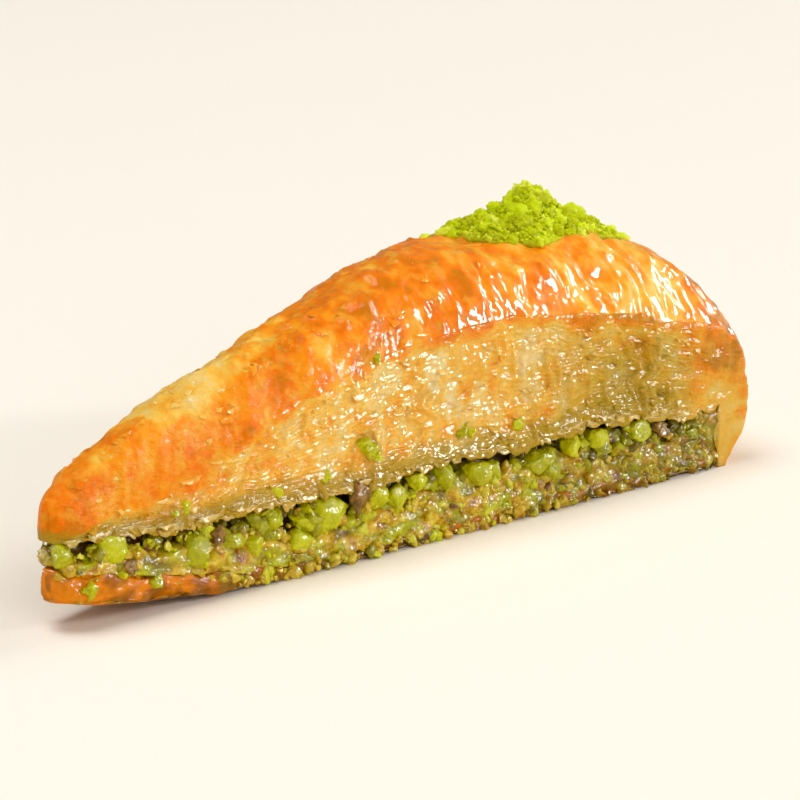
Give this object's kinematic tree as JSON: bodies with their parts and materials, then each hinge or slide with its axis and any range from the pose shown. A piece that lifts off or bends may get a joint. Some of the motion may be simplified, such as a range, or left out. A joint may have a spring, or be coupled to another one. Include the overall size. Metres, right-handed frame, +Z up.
{
  "type": "wedge slice of pistachio baklava",
  "caption": "Long wedge slice of layered pistachio baklava with a domed syrup-glazed crust, chopped pistachio filling and ground pistachio on its crown.",
  "frame": {"origin": "middle of the footprint's bounding box, on the surface that the slice rests on", "axes": "+X from the narrow tip to the browned rim, along the longest extent; +Y across the slice towards the far cut face; +Z up"},
  "size_m": [0.1609, 0.0504, 0.0547],
  "materials": {
    "glazed_pastry": "thin baked pastry sheets, orange-gold and glossy with syrup, pale and flaky where cut",
    "nut_filling": "chopped pistachios, lime green to olive with brown skins, wet with syrup",
    "syrup_pastry": "syrup-soaked pastry sheets, amber and glossy",
    "ground_nut": "finely ground pistachio, bright green and dry"
  },
  "bodies": {
    "root": {"top_pastry": "glazed_pastry", "pistachio_filling": "nut_filling", "bottom_pastry": "syrup_pastry", "ground_pistachio": "ground_nut"}
  },
  "joints": []
}
